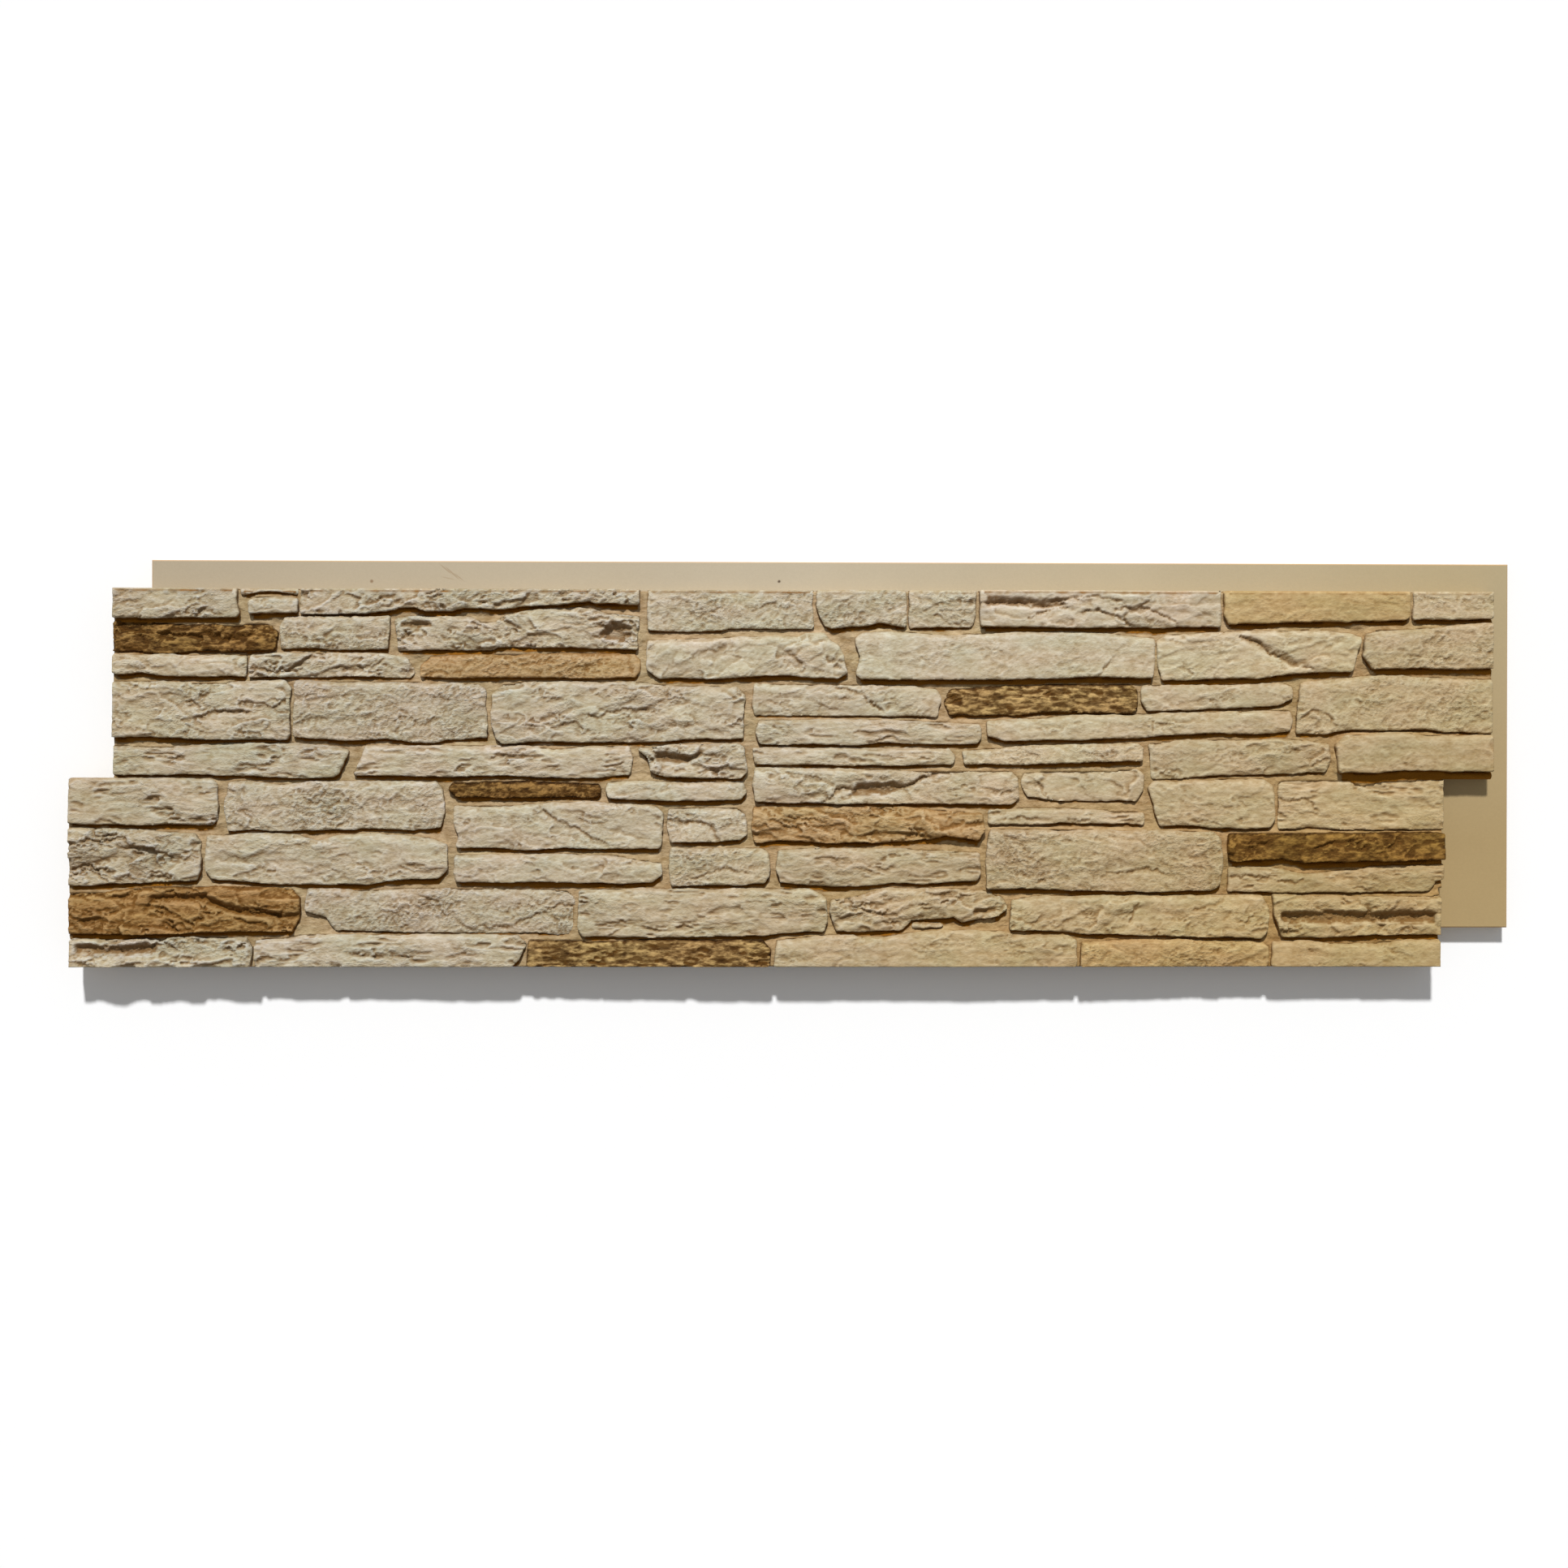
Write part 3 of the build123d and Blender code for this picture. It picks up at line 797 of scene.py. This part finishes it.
# A noise here is its waves in a metre, its layers, how rough it is and how it is drawn out
stoneFinish = castStonePaint("cast_stone_paint", {
    "blotch": (70, 4, 0.6), "blotchTones": ((0.94, 0.92, 0.89), (1.06, 1.06, 1.06)),
    "coarse": (250, 5, 0.62, (0.38, 1, 1)),
    "fine": (560, 3, 0.62, (0.7, 1, 1)),
    # tones of the mottling, with the darkest one for the most mottled stones
    "washDark": (0.78, 0.70, 0.57), "washDarkest": (0.30, 0.24, 0.17), "washLight": (1.12, 1.13, 1.14),
    # brown in the hollows and, as painted shade, on faces turned from the light, and a warmer brown for the
    # painted shadow under the stones
    "washAndShadeNoise": (200, 3, 0.6),
    "brownWashAndShade": srgb(118, 80, 32), "shade": srgb(138, 88, 16), "washAndShadeDepth": 0.98,
    # the paler, bluish tone of crests and arrises, partly wear and partly painted highlight
    "wearAndHighlightNoise": (260, 3, 0.6), "wearAndHighlightTone": (1.05, 1.19, 1.54), "wearAndHighlightShare": 0.75,
    "grainHeight": 1.0,
    "gloss": 0.1,
})
backingFinish = moulding("moulded_backing", {
    "left": srgb(177, 163, 139), "middle": srgb(191, 178, 154), "right": srgb(180, 163, 127),
    "lower": srgb(171, 147, 102), "edge": srgb(196, 148, 92),
    "cloud": (9, 4, 0.6), "cloudTones": ((0.93, 0.92, 0.90), (1.07, 1.07, 1.07)),
    "speck": (600, 3, 0.7), "speckTones": ((0.94, 0.93, 0.91), (1.06, 1.06, 1.06)),
    "skinHeight": 0.06,
    # where each mark is, its radius, how long it is drawn out, its turn, its strength and its colour
    "marks": [
        (541.5, 297.3, 0.8, 1, 0, 0.9, srgb(70, 48, 24)),
        (227, 296.5, 0.9, 1, 0, 0.7, srgb(120, 84, 44)),
        (284, 306, 0.32, 13, -40, 0.4, srgb(140, 108, 70)),
        (289, 303, 0.34, 15, -43, 0.45, srgb(140, 108, 70)),
        (294, 300, 0.3, 11, -38, 0.4, srgb(140, 108, 70)),
        (286, 299, 0.3, 12, -12, 0.3, srgb(140, 108, 70)),
    ],
})
print("materials ready")

# The plain backing: plate, flanges and laps, a copy of the solid cut off under the mortar
backing = panelSolid.copy()
backing.data = panelSolid.data.copy()
backing.name = backing.data.name = "backing"
backing.parent = None
for key in list(backing.keys()):
    del backing[key]
bpy.context.collection.objects.link(backing)
bpy.context.view_layer.objects.active = backing
backing.select_set(True)
bpy.ops.object.mode_set(mode="EDIT")
bpy.ops.mesh.select_all(action="SELECT")
bpy.ops.mesh.remove_doubles(threshold=1e-6)
bpy.ops.mesh.bisect(plane_co=(0, 0, panel["backingTop"] * mm), plane_no=(0, 0, 1), use_fill=True,
                    clear_outer=True)
bpy.ops.mesh.select_all(action="SELECT")
bpy.ops.mesh.normals_make_consistent(inside=False)
bpy.ops.object.mode_set(mode="OBJECT")
backing.data.materials.clear()
backing.data.materials.append(backingFinish)
backing.select_set(False)
# its sloping edges, with normals this far upward, take on this much of the edge colour
edgeShare = 0.55
edgeSlope = (0.3, 0.95)
brokenEdge = backing.data.attributes.new("brokenEdge", "FLOAT", "FACE")
for face, mark in zip(backing.data.polygons, brokenEdge.data):
    mark.value = edgeShare if edgeSlope[0] < face.normal.z < edgeSlope[1] else 0
print("backing cut")

# Stones

stones = {
    "fineness": 0.9,  # spacing of the points
    "headDrop": 2.0,  # how far the top edges are rounded off, towards the mortar above
    "headReach": 2.0,
    "footDrop": 0.45,  # the other edges stay sharper
    "footReach": 0.9,
    "rimDrop": 0.1,  # and those along the panel's rim the sharpest
    "brokenRough": 0.85,  # how much of the solid's broken places shows on a rough stone
    "brokenSmooth": 0.35,  # and on one whose kind has less than this slope
    "smoothSlope": 0.11,
    "wallFoot": 20.0,  # walls end here, under the mortar
    "wallLean": 0.5,
    "peak": 1.3,  # left free above the tallest front for the carving
    "leftRougher": 1.8,  # how much rougher the stones are at the left end than at the right
}


def rougher(x):
    # how much rougher the stones are here than at the right end
    rightward = (x - panelLow[0]) / (panelHigh[0] - panelLow[0])
    return stones["leftRougher"] + (1 - stones["leftRougher"]) * rightward


def carvedFace(x, y, inside, kind, number):
    # the split face of one stone, on a grid, as heights about its front, and its grit
    own = np.random.default_rng(number)
    turn = own.uniform(-1, 1) * kind["slant"]
    along = (x * math.cos(turn) + y * math.sin(turn)) / kind["long"]
    across = y * math.cos(turn) - x * math.sin(turn)
    bend = roughNoise(x / 26, y / 15, number, 3)
    rough = 0.65 + 0.7 * smooth(-0.5, 0.7, roughNoise(x / 48, y / 24, number + 7, 2))
    cuts = facets(along / 13 + 0.4 * bend, across / 11 + 0.3 * bend, number + 11, 0.07)
    crested = crests(along / 7 + 0.5 * bend, across / 7 + 0.35 * bend, number + 80, 3, 0.75)
    carved = 2.4 * kind["cut"] * cuts + kind["crest"] * crested
    flakes = layered(across / 9 + 1.0 * roughNoise(along / 11, across / 11, number + 40, 4, 0.6))
    chips = layered(across / 4 + 1.1 * roughNoise(along / 6, across / 6, number + 60, 3, 0.6), 0.7)
    broken = smooth(0.0, 0.5, roughNoise(x / 26, y / 13, number + 23, 2))
    chipped = smooth(-0.1, 0.5, roughNoise(x / 15, y / 9, number + 29, 2))
    carved = rough * (carved + kind["layer"] * (2.0 * broken * flakes + 0.7 * chipped * chips))
    slope = np.gradient(carved, stones["fineness"], axis=0)[inside]
    carved = carved * kind["slope"] * rougher(x.mean()) / (slope.std() + 1e-6)
    carved = carved - np.median(carved[inside])
    planes = facets(x / kind["planeSize"] / 1.5 + 0.25 * bend, y / kind["planeSize"] * 1.3 + 0.2 * bend,
                    number, 0.08)
    lean = own.normal(0, 0.02) * (y - y.mean()) + own.normal(0, 0.006) * (x - x.mean())
    return carved + kind["plane"] * planes + lean, rough * kind["grit"] * rougher(x.mean())


def carveStone(carving, outline, number):
    step = stones["fineness"]
    edge = roughOutline(outline, step)
    kind = stoneKinds[pickedFor(edge, kindOf, "cleft")]
    paint = stonePaints[pickedFor(edge, paintOf, "cream")]
    low = edge.min(0) - step
    high = edge.max(0) + step
    x, y = np.meshgrid(np.arange(low[0], high[0] + step, step), np.arange(low[1], high[1] + step, step))
    shape = x.shape
    spots = np.stack([x.ravel(), y.ravel()], 1)
    inward, nearest, facingHead = distanceTo(spots, edge)
    inside = (inward > 0).reshape(shape)
    carved, grit = [field.ravel() for field in carvedFace(x, y, inside, kind, number)]
    keep = (inward > -0.5 * step).reshape(shape)
    faces = gridFaces(keep)
    used = np.unique(faces)
    rim = openEdges(faces)
    border = np.zeros(len(spots), bool)
    border[rim.ravel()] = True
    spots[border] = nearest[border]
    inward = np.where(border, 0, np.maximum(inward, 0))

    facingUp = facingHead.clip(0, 1)
    x, y = spots.T

    # front of the stone in the solid, with its broken places drawn along a rough line
    bentX = x + 1.2 * roughNoise(x / 7, y / 7, 31, 2)
    bentY = y + 1.0 * roughNoise(x / 7, y / 7, 37, 2)
    deep = inward > 4.6
    solid = np.zeros(len(x))
    solid[deep] = solidHeight(bentX[deep], bentY[deep])
    front = np.percentile(solid[deep], 90) if deep.any() else panel["bedLevel"] + 4
    broken = np.where(deep, np.clip(front - solid, 0, 9), 0)
    brokenDepth = stones["brokenSmooth"] if kind["slope"] < stones["smoothSlope"] else stones["brokenRough"]
    broken = boxBlur(boxBlur(broken.reshape(shape), 1), 1).ravel() * brokenDepth
    ragged = smooth(0.5, 3, broken) * layered(y / 5 + 1.2 * roughNoise(x / 9, y / 7, 43, 3), 0.7) * 1.6
    front = min(front, panelHigh[2] - stones["peak"])

    drop = stones["footDrop"] + (stones["headDrop"] - stones["footDrop"]) * facingUp
    drop = np.where(onRim(nearest) & (facingUp < 0.5), stones["rimDrop"], drop)
    fade = stones["footReach"] + (stones["headReach"] - stones["footReach"]) * facingUp
    uneven = 1 + 0.45 * roughNoise(x / 9, y / 9, 71, 2)
    level = front - broken - drop * uneven * np.exp(-inward / fade)
    # painted shadow: how deep each place lies in the shade of a stone further up
    inShade = faceMap.shades(x, y, level + stones["footDrop"] * np.exp(-inward / stones["footReach"]),
                             panelHigh[2] - stones["peak"]) * (1 - 0.4 * smooth(0.3, 1.5, broken))
    height = np.clip(level + carved + ragged - crackDepth(x, y), panel["bedLevel"] + 0.6, panelHigh[2] - 0.02)

    # paint: brown in hollows; painted shade on faces that look down, away from the light, and painted shadow
    # under the stones above; paler on crests, partly wear and partly painted highlight, and a painted
    # highlight along the arrises
    field = np.where(keep.ravel(), height, np.nan).reshape(shape)
    known = np.isfinite(field)
    weight = boxBlur(boxBlur(known.astype(float), 2), 2)
    around = boxBlur(boxBlur(np.where(known, field, 0), 2), 2) / np.maximum(weight, 1e-3)
    field = np.where(known, field, around)
    relief = (field - around).ravel()
    away = smooth(0.2, 2.4, inward)
    overhang = np.gradient(field, step, axis=0).ravel()
    # faces that look down, away from the light, take painted shade
    hollow = away * (np.clip(-relief / 1.4, 0, 0.5) + 0.4 * np.clip(overhang / 0.4, 0, 1)
                     + 0.8 * np.clip(overhang - 0.4, 0, 1))
    hollow = np.maximum(np.clip(hollow + np.clip(broken / 10, 0, 0.25), 0, 0.68), inShade)
    # a painted highlight along the stone's edges
    paintedArrisHighlight = np.exp(-inward / 1.0) * smooth(-0.1, 0.6, roughNoise(x / 16, y / 12, number + 3, 2))
    ridge = np.clip(0.7 * away * relief / 0.55 + paintedArrisHighlight, 0, 1) * (rougher(x) - 0.75)
    renumber = np.full(len(spots), -1)
    renumber[used] = np.arange(len(used))
    points = np.column_stack([spots, height])[used]
    raised = smooth(-0.75, 0.55, relief / 0.5 + 0.5 * roughNoise(x / 9, y / 3.2, number + 31, 3))[used, None]
    tone = stonePaint(x[used], y[used], paint[0] * (1 - raised) + paint[1] * raised, number,
                      1.0 if paint is stonePaints["cream"] else drift["darkStones"])

    # walls: the open edges drawn down in two strips
    rim = renumber[rim]
    wallTop = np.unique(rim)
    top = points[wallTop]
    topOut = np.zeros((len(points), 2))
    direction = points[rim[:, 1], :2] - points[rim[:, 0], :2]
    side = np.stack([direction[:, 1], -direction[:, 0]], 1)
    np.add.at(topOut, rim[:, 0], side)
    np.add.at(topOut, rim[:, 1], side)
    topOut = topOut / (np.hypot(*topOut.T)[:, None] + 1e-9)
    out = topOut[wallTop]
    flush = onRim(top[:, :2])[:, None]
    wander = roughNoise(top[:, 0] / 5, top[:, 1] / 5, 90, 2)[:, None]
    lean = stones["wallLean"] + 0.4 * np.clip(out[:, 1:], 0, 1)
    middleRing = top.copy()
    middleRing[:, 2] = (top[:, 2] + panel["bedLevel"]) / 2
    middleRing[:, :2] += np.where(flush, 0, out * (0.4 * lean + 0.35 * wander))
    footRing = top.copy()
    footRing[:, 2] = stones["wallFoot"]
    footRing[:, :2] += np.where(flush, 0, out * lean)
    for wallRing in (middleRing, footRing):
        wallRing[:, :2] = insideRim(wallRing[:, :2], outline)
    count = len(points)
    ring = np.full(count, -1)
    ring[wallTop] = np.arange(len(wallTop))
    a, b = rim.T
    middleA, middleB = ring[a] + count, ring[b] + count
    footA, footB = middleA + len(wallTop), middleB + len(wallTop)
    walls = np.concatenate([np.stack([b, a, middleA, middleB], 1),
                            np.stack([middleB, middleA, footA, footB], 1)])
    # painted shade: walls turned from the light, and the foot of every wall down in the joint, take the brown
    shade = np.clip(0.66 - 0.66 * out[:, 1], 0, 1) * (1 - 0.7 * flush[:, 0])
    shade = np.maximum(shade, hollow[used][wallTop])
    footShade = np.maximum(shade, 0.95 * ~flush[:, 0])
    faces = np.concatenate([renumber[faces], walls])
    flat = np.concatenate([points[:, :2], top[:, :2] + 3 * out, top[:, :2] + 7 * out])
    carving.add(np.concatenate([points, middleRing, footRing]), faces, flat[faces],
                tone=np.concatenate([tone, tone[wallTop], tone[wallTop]]),
                hollow=np.concatenate([hollow[used], shade, footShade]),
                ridge=np.concatenate([ridge[used], 0 * shade, 0 * shade]),
                grit=np.concatenate([grit[used], 0.6 + 0 * shade, 0.6 + 0 * shade]),
                mottle=np.full(count + 2 * len(wallTop), paint[2]))


outlines = sorted(solidOutlines(panel["bedLevel"] + 0.4), key=lambda outline: -outline[:, 1].mean())
print(len(outlines), "stones in the solid")
courses = 8
pieces = []
for course in range(courses):
    members = outlines[course * len(outlines) // courses:(course + 1) * len(outlines) // courses]
    carving = Carving(f"stones_{course + 1}")
    for place, outline in enumerate(members):
        carveStone(carving, outline, 100 * course + place)
    pieces.append(carving.finish(stoneFinish))

# Mortar between the stones

mortar = {
    "middle": 24.0,  # in the upright joints, at least
    "sunk": 2.4,  # or this far below the stones beside
    "dip": 1.5,  # and up to this much more in places
    "low": 21.4,  # under the foot of the stone above
    "lowReach": 2.4,
    "headReach": 2.6,  # it rises to the head of the stone below
    "skirtFoot": 18.5,
    "colour": srgb(175, 155, 124),
}


def carveMortar():
    step = faceMap.step[1]
    x, y, face = faceMap.x, faceMap.y, faceMap.height
    left, head = x[0, 0], y[-1, 0]
    onFace = face > panel["bedLevel"] - 1
    stone = face > panel["bedLevel"] + 0.8
    deepInside = boxBlur(stone.astype(float), 2) > 0.999
    keep = onFace & ~deepInside
    rows = np.arange(x.shape[0])[:, None] * np.ones(x.shape, int)
    lastBelow = np.maximum.accumulate(np.where(stone, rows, -99), 0)
    nextAbove = np.minimum.accumulate(np.where(stone, rows, 9999)[::-1], 0)[::-1]
    below = (rows - lastBelow) * step
    above = (nextAbove - rows) * step
    frontBelow = np.take_along_axis(face, np.clip(lastBelow - 3, 0, None), 0)
    stonesNear = boxBlur(stone.astype(float), 5) + 1e-6
    frontNear = boxBlur(face * stone, 5) / stonesNear
    dips = smooth(-0.5, 0.8, roughNoise(x / 22, y / 16, 15, 2))
    middle = np.maximum(frontNear - mortar["sunk"] - mortar["dip"] * dips, mortar["middle"])
    headLevel = boxBlur(np.maximum(frontBelow - stones["headDrop"] - 0.2, middle), 2)
    height = (middle + (headLevel - middle) * np.exp(-below / mortar["headReach"])
              - (middle - mortar["low"]) * np.exp(-above / mortar["lowReach"]))
    height = height + 0.5 * roughNoise(x / 14, y / 10, 3, 3) + 0.2 * roughNoise(x / 4, y / 4, 6, 3)
    leftRim = np.where(y - panelLow[1] < panel["rimStep"], 0, panel["rimSteps"][1])
    atRim = smooth(3.5, 1.0, x - left - leftRim)
    height = height + atRim * np.maximum(frontNear - 1.2 - height, 0)
    height = height - 1.8 * stone
    height = np.clip(height, panel["backingTop"] + 0.6, panelHigh[2] - 1)
    faces = gridFaces(keep)
    used = np.unique(faces)
    points = np.column_stack([x.ravel(), y.ravel(), height.ravel()])[used]
    renumber = np.full(x.size, -1)
    renumber[used] = np.arange(len(used))
    rim = renumber[openEdges(faces)]
    wallTop = np.unique(rim)
    foot = points[wallTop]
    foot[:, 2] = mortar["skirtFoot"]
    ring = np.full(len(points), -1)
    ring[wallTop] = np.arange(len(wallTop)) + len(points)
    a, b = rim.T
    walls = np.stack([b, a, ring[a], ring[b]], 1)
    faces = np.concatenate([renumber[faces], walls])
    points = np.concatenate([points, foot])

    # laid flat in two halves, one above the other
    sheet = points[faces][..., :2]
    rightHalf = sheet[..., 0].mean(1) > 0
    sheet = sheet + np.where(rightHalf[:, None, None], (left, head - panelLow[1] + 8), (0.0, 0.0))
    tone = stonePaint(points[:, 0], points[:, 1], mortar["colour"], 77)
    beside = smooth(0.05, 0.5, boxBlur(stone.astype(float), 1))
    beside = beside * (0.55 + 0.7 * roughNoise(x / 7, y / 7, 51, 3))
    # painted shadow under the stones above; beside a stone the mortar is brown as well
    inShade = faceMap.shades(x, y, height, panelHigh[2])
    shade = np.maximum(inShade, np.clip(beside, 0, 0.68)).ravel()[used]
    carving = Carving("mortar")
    carving.add(points, faces, sheet, tone=tone, hollow=np.concatenate([shade, shade[wallTop]]),
                ridge=np.zeros(len(points)), grit=np.full(len(points), 0.9), mottle=np.full(len(points), 0.8))
    return carving.finish(stoneFinish)


pieces.append(carveMortar())
pieces.append(backing)
for piece in pieces:
    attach(piece, "root")
    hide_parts("stone_panel")
print("panel dressed")

# Floor, light and camera

room = {
    "floorSize": 8.0,
    "floorColour": (0.97, 0.97, 0.97),
    "sunHeight": 43,  # degrees above the stone face, from the head of the panel
    "sunTurn": 5,  # and a little from the left
    "sunStrength": 3.4,
    "sunSpread": 4,
    "sky": 0.3,
}
bpy.ops.mesh.primitive_plane_add(size=room["floorSize"], location=(0, 0, 0))
floor = bpy.context.object
floor.name = "floor"
floorPaint = Recipe("floor_white")
floor.data.materials.append(floorPaint.surface(Base_Color=room["floorColour"], Roughness=0.9))

bpy.ops.object.light_add(type="SUN", rotation=(math.radians(room["sunHeight"] - 90), 0,
                                               math.radians(room["sunTurn"])))
sun = bpy.context.object
sun.data.energy = room["sunStrength"]
sun.data.angle = math.radians(room["sunSpread"])
world = bpy.data.worlds.new("studio")
bpy.context.scene.world = world
world.use_nodes = True
sky = world.node_tree.nodes["Background"].inputs
sky["Color"].default_value = (1, 1, 1, 1)
sky["Strength"].default_value = room["sky"]

view = {
    "place": (-0.0362, -0.0103, 1.5),
    "turn": (-0.21, -1.03, 0.08),  # degrees about X, Y and Z from looking straight down
    "lens": 44.26,
}
bpy.ops.object.camera_add(location=view["place"], rotation=[math.radians(a) for a in view["turn"]])
camera = bpy.context.object
camera.data.lens = view["lens"]
camera.data.sensor_width = 36
bpy.context.scene.camera = camera
print("room ready")
